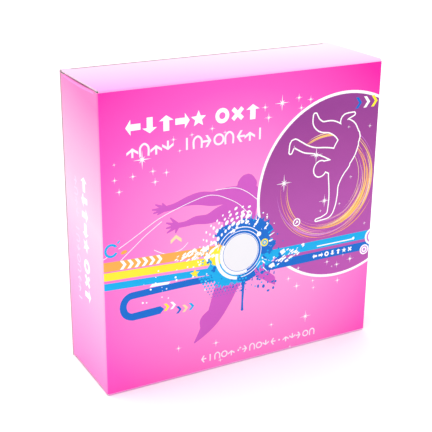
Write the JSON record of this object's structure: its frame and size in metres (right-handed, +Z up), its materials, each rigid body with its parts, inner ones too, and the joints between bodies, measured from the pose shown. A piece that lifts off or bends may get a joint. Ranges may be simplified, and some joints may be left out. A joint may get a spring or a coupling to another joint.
{
  "type": "boxed home dance mat",
  "caption": "Tuck-end retail carton standing upright, with hinged lids, tuck and dust flaps at both ends, holding a folded foam dance mat with its controller, a leaflet and a sleeved disc.",
  "frame": {"origin": "centre of the carton's bottom face", "axes": "+X right and -Y towards the viewer of the printed front panel, +Z up"},
  "size_m": [0.29, 0.0898, 0.2874],
  "materials": {
    "printed_front": "gloss",
    "printed_board": "gloss",
    "printed_flaps": "gloss",
    "plain_flaps": "matte",
    "vinyl": "satin",
    "contact_film": "satin",
    "foam": "matte",
    "base_cloth": "matte",
    "case_plastic": "satin",
    "key_rubber": "matte",
    "screw_steel": "satin",
    "board_laminate": "satin",
    "part_plastic": "matte",
    "lamp": "gloss",
    "paper": "matte",
    "disc": "gloss"
  },
  "bodies": {
    "carton": {"front_panel": "printed_front", "back_panel": "printed_board", "left_panel": "printed_board", "right_panel": "printed_board", "glue_flap": "plain_flaps", "mat_cover": "vinyl", "mat_upper_film": "contact_film", "mat_lower_film": "contact_film", "membrane_tail": "contact_film", "mat_foam": "foam", "mat_base": "base_cloth", "mat_binding": "base_cloth", "mat_tab": "base_cloth", "controller_front_shell": "case_plastic", "controller_back_shell": "case_plastic", "cable_gland": "key_rubber", "controller_screws": "screw_steel", "circuit_board": "board_laminate", "controller_chip": "part_plastic", "tail_connector": "part_plastic", "status_lamp": "lamp", "leaflet": "paper", "disc_sleeve": "paper", "software_disc": "disc"},
    "top_lid": {"top_lid": "printed_flaps"},
    "top_tuck_flap": {"top_tuck_flap": "printed_flaps"},
    "top_dust_flap_left": {"top_dust_flap_left": "plain_flaps"},
    "top_dust_flap_right": {"top_dust_flap_right": "plain_flaps"},
    "bottom_lid": {"bottom_lid": "printed_flaps"},
    "bottom_tuck_flap": {"bottom_tuck_flap": "printed_flaps"},
    "bottom_dust_flap_left": {"bottom_dust_flap_left": "plain_flaps"},
    "bottom_dust_flap_right": {"bottom_dust_flap_right": "plain_flaps"},
    "start_button": {"start_button": "key_rubber"},
    "select_button": {"select_button": "key_rubber"}
  },
  "joints": [
    {"name": "top_lid_fold", "type": "hinge", "parent": "carton", "child": "top_lid", "pos_m": [0, -0.0449, 0.28739], "axis": [1, 0, 0], "range_deg": [0, 175]},
    {"name": "top_tuck_fold", "type": "hinge", "parent": "top_lid", "child": "top_tuck_flap", "pos_m": [0, 0.0431, 0.28739], "axis": [1, 0, 0], "range_deg": [0, 52.5]},
    {"name": "top_dust_fold_left", "type": "hinge", "parent": "carton", "child": "top_dust_flap_left", "pos_m": [-0.14502, 0, 0.28539], "axis": [0, -1, 0], "range_deg": [0, 105]},
    {"name": "top_dust_fold_right", "type": "hinge", "parent": "carton", "child": "top_dust_flap_right", "pos_m": [0.14502, 0, 0.28539], "axis": [0, 1, 0], "range_deg": [0, 105]},
    {"name": "bottom_lid_fold", "type": "hinge", "parent": "carton", "child": "bottom_lid", "pos_m": [0, -0.0449, 0], "axis": [-1, 0, 0], "range_deg": [0, 175]},
    {"name": "bottom_tuck_fold", "type": "hinge", "parent": "bottom_lid", "child": "bottom_tuck_flap", "pos_m": [0, 0.0431, 0], "axis": [-1, 0, 0], "range_deg": [0, 52.5]},
    {"name": "bottom_dust_fold_left", "type": "hinge", "parent": "carton", "child": "bottom_dust_flap_left", "pos_m": [-0.14502, 0, 0.002], "axis": [0, 1, 0], "range_deg": [0, 105]},
    {"name": "bottom_dust_fold_right", "type": "hinge", "parent": "carton", "child": "bottom_dust_flap_right", "pos_m": [0.14502, 0, 0.002], "axis": [0, -1, 0], "range_deg": [0, 105]},
    {"name": "start_button_travel", "type": "slide", "parent": "carton", "child": "start_button", "axis": [0, 1, 0], "range_m": [0, 0.001], "stiffness_N_per_m": 500},
    {"name": "select_button_travel", "type": "slide", "parent": "carton", "child": "select_button", "axis": [0, 1, 0], "range_m": [0, 0.001], "stiffness_N_per_m": 500}
  ],
  "couplings": [
    {"joint": "top_tuck_fold", "follows": "top_lid_fold", "ratio": 0.3},
    {"joint": "top_dust_fold_left", "follows": "top_lid_fold", "ratio": 0.6},
    {"joint": "top_dust_fold_right", "follows": "top_lid_fold", "ratio": 0.6},
    {"joint": "bottom_tuck_fold", "follows": "bottom_lid_fold", "ratio": 0.3},
    {"joint": "bottom_dust_fold_left", "follows": "bottom_lid_fold", "ratio": 0.6},
    {"joint": "bottom_dust_fold_right", "follows": "bottom_lid_fold", "ratio": 0.6}
  ]
}
